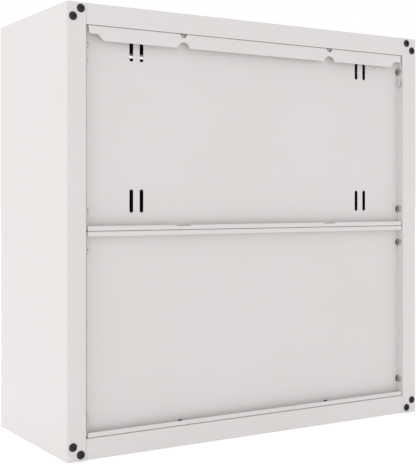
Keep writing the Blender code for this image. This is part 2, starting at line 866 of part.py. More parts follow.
def hinge_bush(side, where, level):
    """A flanged nylon bush in the door's end flange, which turns on the pin."""
    inward = level(1) - level(0)
    flange = 0.0010
    profile = [
        (PIN_RADIUS + GAP, flange + GAP),
        (0.0044, flange + GAP),
        (0.0044, GAP),
        (BUSH_RADIUS, GAP),
        (BUSH_RADIUS, -0.005),
        (PIN_RADIUS + GAP, -0.005),
    ]
    bush = turned(f"{side_name(side)}_{where}_hinge_bush", profile, NYLON, 16, closed=True)
    return placed(bush, (side * HINGE_X, HINGE_Y, level(DOOR_LOW)), -inward * Z_AXIS)


def door_panel(side):
    low = (side * DOOR_INNER, FRONT, DOOR_LOW)
    high = (side * DOOR_OUTER, FRONT + DOOR_DEPTH, DOOR_HIGH)
    obj = folded(f"{side_name(side)}_door", open_tray(low, high, Y_AXIS, DOOR_RETURN))
    holes = [
        ((side * HINGE_X, HINGE_Y, z), Z_AXIS, BUSH_RADIUS + GAP, DRILL) for z in (DOOR_LOW, DOOR_HIGH)
    ]
    for z in handle_zs():
        holes.append(((side * HANDLE_X, FRONT, z), Y_AXIS, HANDLE_SCREW_HOLE, DRILL))
    if side > 0:
        holes.append(((LOCK_X, FRONT, LOCK_Z), Y_AXIS, BARREL_HOLE, DRILL))
    cut_rods(obj, *holes)
    return obj


def door_stiffener(side):
    middle = side * (DOOR_INNER + DOOR_OUTER) / 2
    face = FRONT + SHEET + GAP
    profile = [(middle + across, face + out, 0) for across, out in hat_profile(0.012, 0.040, 0.0145)]
    ends = (DOOR_LOW + 0.020, DOOR_HIGH - 0.020)
    strip = ribbon(profile, Z_AXIS, *ends, (middle, face, HEIGHT / 2))
    return folded(f"{side_name(side)}_door_stiffener", strip, sheet=THIN_SHEET)


def handle_zs():
    return [HANDLE_Z + sign * HANDLE_SPACING / 2 for sign in (-1, 1)]


def door_handle(side):
    """A round bow handle with a threaded blind hole in each foot."""
    x = side * HANDLE_X
    low, high = handle_zs()
    start = FRONT - GAP
    reach = FRONT - HANDLE_REACH
    bend = 0.012
    steps = 5
    points = [(x, start, low)]
    for centre_z, first in ((low + bend, 180), (high - bend, 90)):
        for step in range(steps + 1):
            angle = math.radians(first - 90 * step / steps)
            y = reach + bend - bend * math.sin(angle)
            points.append((x, y, centre_z + bend * math.cos(angle)))
    points.append((x, start, high))
    data = bpy.data.curves.new("handle_route", "CURVE")
    data.dimensions = "3D"
    data.bevel_depth = HANDLE_RADIUS
    data.bevel_resolution = 2
    data.use_fill_caps = True
    spline = data.splines.new("POLY")
    spline.points.add(len(points) - 1)
    for point, co in zip(spline.points, points):
        point.co = (*co, 1.0)
    route = bpy.data.objects.new("handle_route", data)
    CABINET.objects.link(route)
    bm = bmesh.new()
    bm.from_mesh(baked_mesh(route))
    bmesh.ops.remove_doubles(bm, verts=bm.verts[:], dist=0.00001)
    bmesh.ops.recalc_face_normals(bm, faces=bm.faces[:])
    bpy.data.objects.remove(route)
    obj = finish(new_object(f"{side_name(side)}_door_handle", bm, CABINET), BLACK)
    cut_rods(obj, *[((x, start, z), Y_AXIS, 0.0021, 0.018) for z in (low, high)])
    return obj


def strike_plate(side):
    """A steel plate on the door's top return, which the magnet holds."""
    y = FRONT + DOOR_DEPTH + GAP
    x = side * CATCH_X
    low = (x - 0.016, y, DOOR_HIGH - 0.0125)
    high = (x + 0.016, y + 0.0012, DOOR_HIGH - 0.0015)
    obj = new_object(f"{side_name(side)}_strike_plate", boxes((low, high)), CABINET)
    edge = obj.modifiers.new("Edges", "BEVEL")
    edge.width = 0.0003
    edge.segments = 1
    return finish(obj, ZINC, smooth=False)


# ---- magnetic catches ----


def catch(side):
    """A nylon housing under the top rail's return, holding a magnet in a steel yoke."""
    width, depth, height = CATCH_SIZE
    x = side * CATCH_X
    top = from_top(FRONT_RAIL) - GAP
    low = (x - width / 2, CATCH_FRONT, top - height)
    high = (x + width / 2, CATCH_FRONT + depth, top)
    housing = new_object(f"{side_name(side)}_catch_housing", boxes((low, high)), CABINET)
    finish(housing, NYLON)
    edge = housing.modifiers.new("Edges", "BEVEL")
    edge.width = 0.001
    edge.segments = 2
    pocket = Vector((0.011, 0.010, 0.0035))
    centre = Vector((x, CATCH_FRONT, MAGNET_Z))
    cut_boxes(housing, (centre - pocket, centre + pocket))
    ears = [place for place in CATCH_SCREWS if place[0] * side > 0]
    middle = top - height / 2
    cut_rods(housing, *[((*ear, middle), Z_AXIS, CATCH_SCREW_HOLE, height + DRILL) for ear in ears])

    plate = 0.0015
    proud = 0.0004
    back = 0.009
    yoke_half = pocket - Vector((GAP, 0, GAP))
    yoke_low = centre - Vector((yoke_half.x, proud, yoke_half.z))
    yoke_high = centre + Vector((yoke_half.x, back, yoke_half.z))
    yoke = new_object(f"{side_name(side)}_catch_yoke", boxes((yoke_low, yoke_high)), CABINET)
    finish(yoke, ZINC, smooth=False)
    slot = Vector((pocket.x + OVER, back - plate, yoke_half.z - plate))
    cut_boxes(yoke, (centre - slot, centre + slot))
    magnet_low = centre - Vector((yoke_half.x, 0, slot.z - GAP))
    magnet_high = centre + Vector((yoke_half.x, slot.y - GAP, slot.z - GAP))
    magnet = new_object(f"{side_name(side)}_catch_magnet", boxes((magnet_low, magnet_high)), CABINET)
    finish(magnet, FERRITE, smooth=False)


# ---- lock ----


def lock_barrel():
    """The fixed body: a flanged tube through the door, with its axis along -Y."""
    bore = 0.0058
    profile = [
        (bore, 0.0022),
        (0.0098, 0.0022),
        (0.0105, 0.0015),
        (0.0105, 0.0),
        (0.0079, 0.0),
        (0.0079, -0.0215),
        (bore, -0.0215),
    ]
    barrel = turned("lock_barrel", profile, CHROME, 24, closed=True)
    return placed(barrel, (LOCK_X, FRONT - GAP, LOCK_Z), -Y_AXIS)


def lock_nut():
    """The hexagon nut that clamps the barrel to the door's face from inside."""
    thickness = 0.0035
    centre = (0, 0, thickness / 2)
    bm = bmesh.new()
    rod(bm, centre, Z_AXIS, 0.0127, thickness, 6)
    nut = finish(new_object("lock_nut", bm, CABINET), ZINC, smooth=False)
    cut_rods(nut, (centre, Z_AXIS, BARREL_HOLE, 2 * thickness))
    return placed(nut, (LOCK_X, FRONT + SHEET + GAP, LOCK_Z), Y_AXIS)


def lock_plug():
    """The turning cylinder, with a keyway in front and a square tail for the cam."""
    profile = [
        (0.0, 0.0020),
        (0.0050, 0.0020),
        (0.0055, 0.0016),
        (0.0055, -0.0219),
        (0.0, -0.0219),
    ]
    plug = turned("lock_plug", profile, CHROME, 24)
    tail = 0.0035
    join_boxes(plug, ((-tail, -tail, -0.0249), (tail, tail, -0.0210)))
    keyway = bmesh.new()
    box(keyway, (-0.001, -0.004, -0.008), (0.001, 0.004, 0.003))
    combine(plug, "DIFFERENCE", keyway)
    thread = bmesh.new()
    rod(thread, (0, 0, -0.021), Z_AXIS, 0.0021, 0.012, 12)
    combine(plug, "DIFFERENCE", thread)
    return placed(plug, (LOCK_X, FRONT - GAP, LOCK_Z), -Y_AXIS)


def lock_cam():
    """A flat tongue with a square hole. It points sideways when unlocked, and up when locked."""
    radius = CAM_WIDTH / 2
    outline = arc((LOCK_X, LOCK_Z), radius, 90, 270, 8)
    tip = 0.004
    end = LOCK_X + CAM_LENGTH
    outline += arc((end - tip, LOCK_Z - radius + tip), tip, -90, 0, 3)
    outline += arc((end - tip, LOCK_Z + radius - tip), tip, 0, 90, 3)
    bm = bmesh.new()
    prism(bm, [(x, CAM_Y, z) for x, z in outline], (0, CAM_THICKNESS, 0))
    cam = finish(new_object("lock_cam", bm, CABINET), ZINC, smooth=False)
    hole = 0.0038
    centre = Vector((LOCK_X, CAM_Y, LOCK_Z))
    cut_boxes(cam, (centre - Vector((hole, 0.003, hole)), centre + Vector((hole, 0.005, hole))))
    return cam


def lock_cam_screw():
    screw = socket_screw("lock_cam_screw", ZINC, DOMED, 0.0055, 0.002, SCREW_SHANK, 0.009)
    return placed(screw, (LOCK_X, CAM_Y + CAM_THICKNESS + 2 * GAP, LOCK_Z), Y_AXIS)


# ---- bolt inside the left door ----


def bolt_guide():
    """A base plate on the left door's inner return, with two bored blocks that guide the bolt."""
    x = -BOLT_X
    face = FRONT + DOOR_DEPTH + GAP
    plate = 0.0012
    low = BOLT_TIP - 0.066
    high = BOLT_TIP - 0.004
    guide = boxes(((x - 0.0065, face, low), (x + 0.0065, face + plate, high)))
    obj = finish(new_object("bolt_guide", guide, CABINET), ZINC)
    block = 0.008
    join_boxes(
        obj,
        *[
            ((x - 0.0055, face + plate / 2, z), (x + 0.0055, BOLT_Y + 0.005, z + block))
            for z in (low + 0.010, high - 0.010 - block)
        ],
    )
    middle = (low + high) / 2
    cut_rods(obj, ((x, BOLT_Y, middle), Z_AXIS, BOLT_RADIUS + GAP, 0.1))
    rivets = [low + 0.005, high - 0.005]
    cut_rods(obj, *[((x, face, z), Y_AXIS, RIVET_HOLE, DRILL) for z in rivets])
    return obj


def bolt_rod():
    """The sliding bolt and its knob."""
    profile = [
        (0.0, 0.0),
        (BOLT_RADIUS - 0.001, 0.0),
        (BOLT_RADIUS, -0.001),
        (BOLT_RADIUS, -BOLT_LENGTH),
        (0.0, -BOLT_LENGTH),
    ]
    bolt = turned("door_bolt", profile, ZINC, 16)
    knob = bmesh.new()
    rod(knob, (0, 0.006, -BOLT_KNOB), Y_AXIS, 0.002, 0.010, 12)
    combine(bolt, "UNION", knob)
    return placed(bolt, (-BOLT_X, BOLT_Y, BOLT_TIP))


# ---- assembly ----


def attach(empty_name, position, parts, parent=None):
    """Hangs parts on an empty that stands on their joint's axis."""
    empty = bpy.data.objects.new(empty_name, None)
    CABINET.objects.link(empty)
    empty.location = position
    if parent is not None:
        empty.parent = parent
        empty.matrix_parent_inverse = Matrix.Translation(parent.location).inverted()
    for part in parts:
        part.parent = empty
        part.matrix_parent_inverse = Matrix.Translation(position).inverted()
    return empty


def door(side):
    parts = [
        door_panel(side),
        door_stiffener(side),
        hinge_bush(side, "upper", from_top),
        hinge_bush(side, "lower", from_base),
        door_handle(side),
        strike_plate(side),
    ]
    hinge = (side * HINGE_X, HINGE_Y, HEIGHT / 2)
    axis_name = f"{side_name(side)}_door_axis"
    if side > 0:
        parts += [lock_barrel(), lock_nut()]
        axis = attach(axis_name, hinge, parts)
        turning = [lock_plug(), lock_cam(), lock_cam_screw()]
        attach("lock_axis", (LOCK_X, FRONT, LOCK_Z), turning, axis)
    else:
        axis = attach(axis_name, hinge, parts + [bolt_guide()])
        attach("bolt_axis", (-BOLT_X, BOLT_Y, BOLT_TIP), [bolt_rod()], axis)


top_panel()
cover_panel("bottom_panel", from_base)
upper_back_panel()
lower_back_panel()
shelf()
shelf_rib()
rear_corner_screws()
back_side_screws()
back_top_screws()
for side in (-1, 1):
    side_panel(side)
    for where, clip_y in zip(("front", "rear"), CLIP_YS):
        shelf_clip(side, clip_y, f"{side_name(side)}_{where}_shelf_clip")
    hinge_pins(side)
    catch(side)
    door(side)
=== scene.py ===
"""Looks for the hanging wall cabinet: materials, smooth fasteners and handles, light and camera.

Metres, in the CAD's frame: +Z up, the wall at +Y and the doors facing -Y. The base's underside is at 0.
"""

import json
import math

import bmesh
import bpy
from mathutils import Matrix, Vector

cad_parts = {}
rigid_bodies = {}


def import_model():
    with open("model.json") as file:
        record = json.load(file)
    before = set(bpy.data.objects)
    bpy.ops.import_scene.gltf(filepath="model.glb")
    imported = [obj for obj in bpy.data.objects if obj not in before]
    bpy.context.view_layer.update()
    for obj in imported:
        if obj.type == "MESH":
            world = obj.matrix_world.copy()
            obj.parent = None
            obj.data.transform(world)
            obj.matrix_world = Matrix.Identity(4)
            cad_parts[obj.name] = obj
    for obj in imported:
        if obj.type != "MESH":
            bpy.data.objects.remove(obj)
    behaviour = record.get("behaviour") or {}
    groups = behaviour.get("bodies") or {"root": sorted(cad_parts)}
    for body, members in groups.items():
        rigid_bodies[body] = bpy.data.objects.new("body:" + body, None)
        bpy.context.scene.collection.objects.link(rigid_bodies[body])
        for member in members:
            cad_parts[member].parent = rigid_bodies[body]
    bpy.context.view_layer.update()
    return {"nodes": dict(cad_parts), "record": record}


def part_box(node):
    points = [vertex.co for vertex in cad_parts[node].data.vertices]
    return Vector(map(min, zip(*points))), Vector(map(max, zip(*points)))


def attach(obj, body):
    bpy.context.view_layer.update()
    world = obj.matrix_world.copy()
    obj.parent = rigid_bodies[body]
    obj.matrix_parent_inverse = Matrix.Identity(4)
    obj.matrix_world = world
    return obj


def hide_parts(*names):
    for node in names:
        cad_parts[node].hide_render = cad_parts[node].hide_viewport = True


for old in list(bpy.data.objects):
    bpy.data.objects.remove(old)

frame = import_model()
NODES = frame["nodes"]
SLOT_OF = {part["node"]: part["material_slot"] for part in frame["record"]["subparts"]}

X_AXIS = Vector((1, 0, 0))
Y_AXIS = Vector((0, 1, 0))
Z_AXIS = Vector((0, 0, 1))

# The case, as in the CAD
WIDTH = 0.711
HEIGHT = 0.711
REAR = 0.1525
FRONT = -0.1525
SHEET = 0.001
GAP = 0.0003
SEAM = 0.0005  # around the back's trays
INNER = 0.3232  # where the stiles' returns stand
REAR_RAIL = 0.033
TRAY_SEAM = HEIGHT / 2
SIDES = (-1, 1)  # left and right

# Where the fasteners stand
FLANGE_SCREW_X = 0.150
FLANGE_SCREW_Y = REAR - 0.0072
SIDE_SCREW_OFFSETS = (-0.2913, -0.0318, 0.0318, 0.2913)  # from the trays' seam
CORNER_SCREW_INSETS = {  # from the side, and from the top or the base
    "inner": (0.0229, 0.0093),
    "outer": (0.0099, 0.0225),
}
FRONT_SCREW_Y = FRONT + 0.009
FRONT_SCREW_INSETS = (0.010, 0.022)
CATCH_SCREW_OFFSETS = (-0.017, 0.017)
END_INSET = 0.005  # from the ends of a handle, or of the bolt's guide
GUIDE_SHEET = 0.0012


# ---- node helpers ----


def new_material(name):
    made = bpy.data.materials.new(name)
    made.use_nodes = True
    return made, made.node_tree, made.node_tree.nodes["Principled BSDF"]


def feed(tree, socket, value):
    """Gives an input a value or another node's output."""
    if isinstance(value, bpy.types.NodeSocket):
        tree.links.new(value, socket)
    else:
        socket.default_value = value


def add(tree, kind, inputs, **settings):
    """A node with its settings, and with its inputs given by name."""
    node = tree.nodes.new(kind)
    for name, value in settings.items():
        setattr(node, name, value)
    for name, value in inputs.items():
        feed(tree, node.inputs[name], value)
    return node


def noise(tree, where, scale, detail, roughness=0.5):
    """Noise with the given number of features to a metre."""
    inputs = {"Vector": where, "Scale": scale, "Detail": detail, "Roughness": roughness}
    return add(tree, "ShaderNodeTexNoise", inputs).outputs["Fac"]


def spread(tree, value, low, high, to_low=0.0, to_high=1.0):
    """Maps low..high to to_low..to_high, clamped."""
    inputs = {
        "Value": value,
        "From Min": low,
        "From Max": high,
        "To Min": to_low,
        "To Max": to_high,
    }
    return add(tree, "ShaderNodeMapRange", inputs).outputs["Result"]


def mottled(tree, where, scale, detail, levels, onto=(0.0, 1.0), roughness=0.5):
    """Noise, with what lies between two of its levels spread onto a range."""
    return spread(tree, noise(tree, where, scale, detail, roughness), *levels, *onto)


def blended(tree, amount, a, b):
    """A colour between a and b. Sockets 6 and 7, and output 2, are the Mix node's colours."""
    node = add(tree, "ShaderNodeMix", {"Factor": amount}, data_type="RGBA")
    for socket, value in ((node.inputs[6], a), (node.inputs[7], b)):
        feed(tree, socket, (*value, 1.0) if isinstance(value, tuple) else value)
    return node.outputs[2]


def times(tree, a, b):
    return add(tree, "ShaderNodeMath", {0: a, 1: b}, operation="MULTIPLY").outputs["Value"]


def edge_and_crease_mask(tree, where, radius, patchiness, most):
    """Up to the most on edges and in creases, as wide as the radius, and 0 elsewhere, broken up by noise.
    """
    rounded = add(tree, "ShaderNodeBevel", {"Radius": radius}, samples=4)
    surface = add(tree, "ShaderNodeNewGeometry", {})
    normals = {0: rounded.outputs["Normal"], 1: surface.outputs["Normal"]}
    turn = add(tree, "ShaderNodeVectorMath", normals, operation="DOT_PRODUCT")
    edge = spread(tree, turn.outputs["Value"], 0.995, 0.85)
    patches = mottled(tree, where, patchiness, 3.0, (0.35, 0.65))
    return times(tree, times(tree, edge, patches), most)


def bump(tree, shader, *layers):
    """Stacks bumps, each a height, a strength and a distance, on the shader's normal."""
    below = None
    for height, strength, distance in layers:
        inputs = {"Height": height, "Strength": strength, "Distance": distance}
        if below is not None:
            inputs["Normal"] = below
        below = add(tree, "ShaderNodeBump", inputs).outputs["Normal"]
    feed(tree, shader.inputs["Normal"], below)


def object_coordinates(tree):
    return add(tree, "ShaderNodeTexCoord", {}).outputs["Object"]


# ---- materials ----


def scaled(colour, *shares):
    """A colour with its channels multiplied by three shares, or all by one."""
    return tuple(c * share for c, share in zip(colour, shares * 3 if len(shares) == 1 else shares))


def powder_coat(name, colour, roughness=0.46, texture=0.10):
    """Baked powder paint: a soft orange-peel skin, faint mottling, and greyer edges, partly paint worn
    thin and partly painted shade in folds and creases.
    """
    made, tree, shader = new_material(name)
    where = object_coordinates(tree)
    thin, thick = scaled(colour, 0.985, 0.985, 0.983), scaled(colour, 1.01, 1.01, 1.012)
    body = blended(tree, mottled(tree, where, 4.0, 4.0, (0.3, 0.7)), thin, thick)
    specks = mottled(tree, where, 420.0, 3.0, (0.62, 0.75), (0.0, 0.35), 0.6)
    body = blended(tree, specks, body, scaled(colour, 0.95))
    # Painted shade: this darkening stands for paint worn thin on outer edges, and it also falls in
    # creases and inside corners, where shade falls.
    edge = edge_and_crease_mask(tree, where, 0.0007, 90.0, 0.30)
    body = blended(tree, edge, body, scaled(colour, 0.84, 0.835, 0.83))
    feed(tree, shader.inputs["Base Color"], body)
    rough = mottled(tree, where, 26.0, 3.0, (0.3, 0.7), (roughness - 0.04, roughness + 0.05))
    feed(tree, shader.inputs["Roughness"], rough)
    peel = noise(tree, where, 620.0, 1.5, 0.4)
    grain = noise(tree, where, 2600.0, 2.0)
    bump(tree, shader, (peel, texture, 0.00025), (grain, texture * 0.7, 0.00006))
    return made


def plated(name, bright, dull, roughness):
    """Zinc-plated steel: cloudy crystals in two greys, a faint passivation tint and worn edges."""
    made, tree, shader = new_material(name)
    where = object_coordinates(tree)
    shader.inputs["Metallic"].default_value = 1.0
    body = blended(tree, mottled(tree, where, 260.0, 4.0, (0.35, 0.65), roughness=0.6), dull, bright)
    stain = mottled(tree, where, 90.0, 2.0, (0.5, 0.7), (0.0, 0.5))
    body = blended(tree, stain, body, scaled(bright, 1.04, 0.99, 0.86))
    edge = edge_and_crease_mask(tree, where, 0.0003, 300.0, 0.6)
    body = blended(tree, edge, body, scaled(bright, 1.2))
    feed(tree, shader.inputs["Base Color"], body)
    rough = mottled(tree, where, 700.0, 3.0, (0.3, 0.7), (roughness - 0.07, roughness + 0.10))
    feed(tree, shader.inputs["Roughness"], rough)
    bump(tree, shader, (noise(tree, where, 1800.0, 3.0, 0.6), 0.12, 0.00004))
    return made


def black_oxide(name):
    """Blackened steel with an oily sheen: nearly black, with bare metal just showing on its edges."""
    made, tree, shader = new_material(name)
    where = object_coordinates(tree)
    shader.inputs["Specular IOR Level"].default_value = 0.4
    cloudy = mottled(tree, where, 500.0, 3.0, (0.35, 0.65))
    body = blended(tree, cloudy, (0.004, 0.004, 0.005), (0.009, 0.009, 0.010))
    edge = edge_and_crease_mask(tree, where, 0.00025, 500.0, 0.3)
    body = blended(tree, edge, body, (0.03, 0.029, 0.028))
    feed(tree, shader.inputs["Base Color"], body)
    rough = mottled(tree, where, 900.0, 2.0, (0.3, 0.7), (0.22, 0.36))
    feed(tree, shader.inputs["Roughness"], rough)
    bump(tree, shader, (noise(tree, where, 2200.0, 2.0), 0.10, 0.00003))
    return made


def moulded(name, colour, roughness, grain, depth):
    """Moulded plastic: faint flow marks and a fine spark-eroded grain."""
    made, tree, shader = new_material(name)
    where = object_coordinates(tree)
    shader.inputs["Subsurface Weight"].default_value = 0.08
    shader.inputs["Subsurface Scale"].default_value = 0.002
    flow = mottled(tree, where, 60.0, 3.0, (0.3, 0.7))
    feed(tree, shader.inputs["Base Color"], blended(tree, flow, scaled(colour, 0.94), colour))
    rough = mottled(tree, where, 200.0, 2.0, (0.3, 0.7), (roughness - 0.05, roughness + 0.06))
    feed(tree, shader.inputs["Roughness"], rough)
    bump(tree, shader, (noise(tree, where, grain, 2.0), 0.25, depth))
    return made


def sintered(name):
    """Ferrite: dark, gritty and matt, with pale dust in its pores."""
    made, tree, shader = new_material(name)
    where = object_coordinates(tree)
    pores = mottled(tree, where, 1400.0, 4.0, (0.55, 0.75), roughness=0.7)
    body = blended(tree, pores, (0.030, 0.030, 0.033), (0.085, 0.083, 0.08))
    feed(tree, shader.inputs["Base Color"], body)
    shader.inputs["Roughness"].default_value = 0.78
    bump(tree, shader, (noise(tree, where, 1100.0, 4.0, 0.7), 0.5, 0.00008))
    return made


def chrome(name):
    """Polished chrome plate with hairline scratches round the axis, and a little haze."""
    made, tree, shader = new_material(name)
    where = object_coordinates(tree)
    shader.inputs["Metallic"].default_value = 1.0
    haze = mottled(tree, where, 240.0, 3.0, (0.4, 0.7))
    body = blended(tree, haze, (0.74, 0.745, 0.76), (0.62, 0.62, 0.63))
    feed(tree, shader.inputs["Base Color"], body)
    rough = mottled(tree, where, 900.0, 3.0, (0.3, 0.75), (0.06, 0.20))
    feed(tree, shader.inputs["Roughness"], rough)
    scratches = {"Vector": where, "Scale": (900.0, 900.0, 9000.0)}
    stretched = add(tree, "ShaderNodeMapping", scratches).outputs["Vector"]
    bump(tree, shader, (noise(tree, stretched, 1.0, 2.0), 0.05, 0.00002))
    return made


WHITE = (0.685, 0.660, 0.654)
MATERIALS = {
    "case_paint": powder_coat("case_powder_coat", WHITE),
    "back_paint": powder_coat("back_powder_coat", scaled(WHITE, 0.99), 0.48, 0.11),
    "door_paint": powder_coat("door_powder_coat", WHITE, 0.44, 0.09),
    "shelf_paint": powder_coat("shelf_powder_coat", WHITE, 0.47, 0.10),
    "black_screws": black_oxide("black_oxide"),
    "handle_black": powder_coat("handle_powder_coat", (0.018, 0.018, 0.019), 0.40, 0.22),
    "zinc": plated("zinc_plate", (0.54, 0.54, 0.525), (0.38, 0.38, 0.37), 0.24),
    "lock_chrome": chrome("chrome_plate"),
    "nylon": moulded("natural_nylon", (0.70, 0.68, 0.62), 0.48, 1500.0, 0.00005),
    "ferrite": sintered("ferrite"),
}

WELD_DISTANCE = 0.000001
FOLD_ANGLE = math.radians(50)  # folds stay sharp beyond it
EASED_EDGES = {  # widths, by how the nodes' names end
    "lock_cam": 0.0002,
    "lock_nut": 0.0004,
    "bolt_guide": 0.0002,
    "shelf_clip": 0.0002,
    "catch_yoke": 0.0002,
    "catch_magnet": 0.0002,
}


def finish_node(obj, material):
    """Puts a material on a CAD part, eases the edges of small parts, and shades folds smooth."""
    obj.data.materials.clear()
    obj.data.materials.append(material)
    weld = obj.modifiers.new("Weld", "WELD")
    weld.merge_threshold = WELD_DISTANCE
    for ending, width in EASED_EDGES.items():
        if obj.name.endswith(ending):
            ease = obj.modifiers.new("Eased edges", "BEVEL")
            ease.width = width
            ease.segments = 2
            ease.limit_method = "ANGLE"
    obj.data.shade_smooth()
    obj.data.set_sharp_from_angle(angle=FOLD_ANGLE)
    flat = obj.modifiers.new("Flat faces stay flat", "WEIGHTED_NORMAL")
    flat.mode = "FACE_AREA"
    flat.keep_sharp = True


for node_name, node in NODES.items():
    finish_node(node, MATERIALS[SLOT_OF[node_name]])


# ---- turned and hexagonal pieces ----

SHARP_ANGLE = math.radians(35)
CORNER_RATIO = 1.155  # a hexagon's corner against its side, from the middle
EASE = 0.0003  # small chamfers
FINE_PITCH = 0.0007


def joined(bm, low, high):
    """Faces between two rings, either of which may be a single point."""
    for k in range(max(len(low), len(high))):
        a, b = k % len(low), (k + 1) % len(low)
        c, d = (k + 1) % len(high), k % len(high)
        corners = list(dict.fromkeys((low[a], low[b], high[c], high[d])))
        if len(corners) > 2:
            bm.faces.new(corners)


def finished_mesh(name, bm):
    bmesh.ops.recalc_face_normals(bm, faces=bm.faces[:])
    mesh = bpy.data.meshes.new(name)
    bm.to_mesh(mesh)
    bm.free()
    mesh.shade_smooth()
    mesh.set_sharp_from_angle(angle=SHARP_ANGLE)
    return mesh


def spun(name, rows, closed=False, sides=36):
    """A mesh round +Z. Each row is a (radius, height) pair, or a function that gives one for an angle."""
    bm = bmesh.new()
    rings = []
    for row in rows:
        ring = []
        for k in range(sides):
            angle = math.tau * k / sides
            radius, height = row(angle) if callable(row) else row
            ring.append((radius * math.cos(angle), radius * math.sin(angle), height))
            if radius == 0:
                break
        rings.append([bm.verts.new(point) for point in ring])
    for low, high in zip(rings, rings[1:] + (rings[:1] if closed else [])):
        joined(bm, low, high)
    return finished_mesh(name, bm)


def hexagon(half_width, angle):
    """The distance to a hexagon's side at an angle."""
    return half_width / math.cos((angle + math.pi / 6) % (math.pi / 3) - math.pi / 6)


def thread(radius, start, end, pitch):
    """Rows of V-shaped ridges down a shank, with a bevelled tip."""
    depth = pitch * 0.45
    rows = []
    z = start
    while z - pitch > end + depth:
        rows += [(radius, z), (radius - depth, z - pitch / 2)]
        z -= pitch
    return rows + [(radius, z), (radius - depth, end), (0.0, end)]


def socket_screw(name, crown, socket, bottom, shank, length, pitch):
    """A head with a hexagon socket, on a threaded shank. The crown runs from the socket to the seat."""
    rows = [
        (0.0, bottom - 0.0002),
        lambda angle: (hexagon(socket, angle), bottom),
        lambda angle: (hexagon(socket, angle), crown[0][1] - EASE),
        *crown,
        (shank + 0.0002, 0.0),
        (shank, -EASE),
        *thread(shank, -0.0012, -length, pitch),
    ]
    return spun(name, rows)


def button_screw(name, head, height, shank, length, pitch=FINE_PITCH):
    """A dome on a thin flange. Its seat is at the origin."""
    socket = head * 0.40
    flange = height * 0.2
    width = head * 0.86

    def dome(angle):
        return width * math.sin(angle), flange + (height - flange) * math.cos(angle)

    start = math.asin((socket * CORNER_RATIO + EASE) / width)
    steps = 7
    end = math.radians(88)
    crown = [
        *[dome(start + (end - start) * k / steps) for k in range(steps + 1)],
        (width, flange * 0.9),
        (head - EASE, flange * 0.75),
        (head, flange * 0.45),
        (head - 0.0001, 0.0),
    ]
    return socket_screw(name, crown, socket, height * 0.16, shank, length, pitch)


def pan_screw(name, head, height, shank, length):
    """A flat-topped head with straight sides and a rounded edge. Its seat is at the origin."""
    socket = head * 0.38
    round_off = height * 0.32

    def edge(angle):
        across = head - round_off + round_off * math.sin(angle)
        return across, height - round_off + round_off * math.cos(angle)

    crown = [
        (socket * CORNER_RATIO + EASE, height),
        *[edge(math.radians(18 * k)) for k in range(6)],
        (head, EASE),
        (head - 0.0002, 0.0),
    ]
    return socket_screw(name, crown, socket, height * 0.35, shank, length, FINE_PITCH)


def hex_nut(name, half_width, height, bore):
    """A nut with its corners chamfered top and bottom. Its lower face is at the origin."""
    corner = half_width * 0.985
    slope = math.tan(math.radians(30))

    def fall(angle):
        return (hexagon(half_width, angle) - corner) * slope

    rows = [
        (bore + EASE, 0.0),
        (corner, 0.0),
        lambda angle: (hexagon(half_width, angle), fall(angle)),
        lambda angle: (hexagon(half_width, angle), height - fall(angle)),
        (corner, height),
        (bore + EASE, height),
        (bore, height - EASE),
        (bore, EASE),
    ]
    return spun(name, rows, closed=True)


def rivet(name, head, height, shank, length):
    """A low domed head on a plain shank. Its seat is at the origin."""
    rows = [
        (0.0, height),
        (head * 0.55, height),
        (head * 0.9, height * 0.7),
        (head, height * 0.25),
        (head, 0.0),
        (shank, 0.0),
        (shank, -length),
        (0.0, -length),
    ]
    return spun(name, rows, sides=24)


TWIST = math.radians(37)
placed_count = 0


def put(mesh, name, position, axis, body, slot, node=None):
    """Stands a piece at a place, with its +Z along the axis, and each one turned a little further."""
    global placed_count
    obj = bpy.data.objects.new(name, mesh)
    bpy.context.scene.collection.objects.link(obj)
    if not mesh.materials:
        mesh.materials.append(MATERIALS[slot])
    turn = Z_AXIS.rotation_difference(Vector(axis)).to_matrix().to_4x4()
    twist = Matrix.Rotation(TWIST * placed_count, 4, "Z")
    obj.matrix_world = Matrix.Translation(position) @ turn @ twist
    placed_count += 1
    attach(obj, body)
    if node:
        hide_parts(node)


def side_name(side):
    return "right" if side > 0 else "left"


def level(end, drop):
    """A height, measured in from the top or up from the base."""
    return HEIGHT - drop if end == "upper" else drop


# ---- fasteners ----

CORNER_SCREW = button_screw(
    "corner_screw", head=0.0067, height=0.0032, shank=0.0023, length=0.009, pitch=0.0008
)
CORNER_NUT = hex_nut("corner_nut", half_width=0.004, height=0.0040, bore=0.00235)
SIDE_SCREW = pan_screw("side_screw", head=0.0049, height=0.0034, shank=0.0018, length=0.010)
SHORT_SCREW = pan_screw("short_screw", head=0.0049, height=0.0034, shank=0.0018, length=0.008)
SMALL_NUT = hex_nut("small_nut", half_width=0.0035, height=0.0030, bore=0.00185)
HANDLE_SCREW = button_screw("handle_screw", head=0.0045, height=0.0022, shank=0.0018, length=0.009)
CATCH_SCREW = button_screw(
    "catch_screw", head=0.0034, height=0.0018, shank=0.0014, length=0.0220, pitch=0.0006
)
GUIDE_RIVET = rivet("guide_rivet", head=0.0026, height=0.0006, shank=0.0014, length=0.0012)


def corner_fasteners():
    """The black screws at the back's corners, and the nuts behind the tabs that they go through."""
    tab = REAR - 2 * SHEET - 2 * GAP
    for end in ("upper", "lower"):
        for side in SIDES:
            for row, (inset, drop) in CORNER_SCREW_INSETS.items():
                x = side * (WIDTH / 2 - inset)
                z = level(end, drop)
                tail = f"{end}_{side_name(side)}_{row}"
                node = f"rear_corner_screw_{tail}"
                name = f"corner_button_screw_{tail}"
                seat = (x, REAR + GAP, z)
                put(CORNER_SCREW, name, seat, Y_AXIS, "cabinet", "black_screws", node)
                put(CORNER_NUT, f"corner_nut_{tail}", (x, tab, z), -Y_AXIS, "cabinet", "zinc")


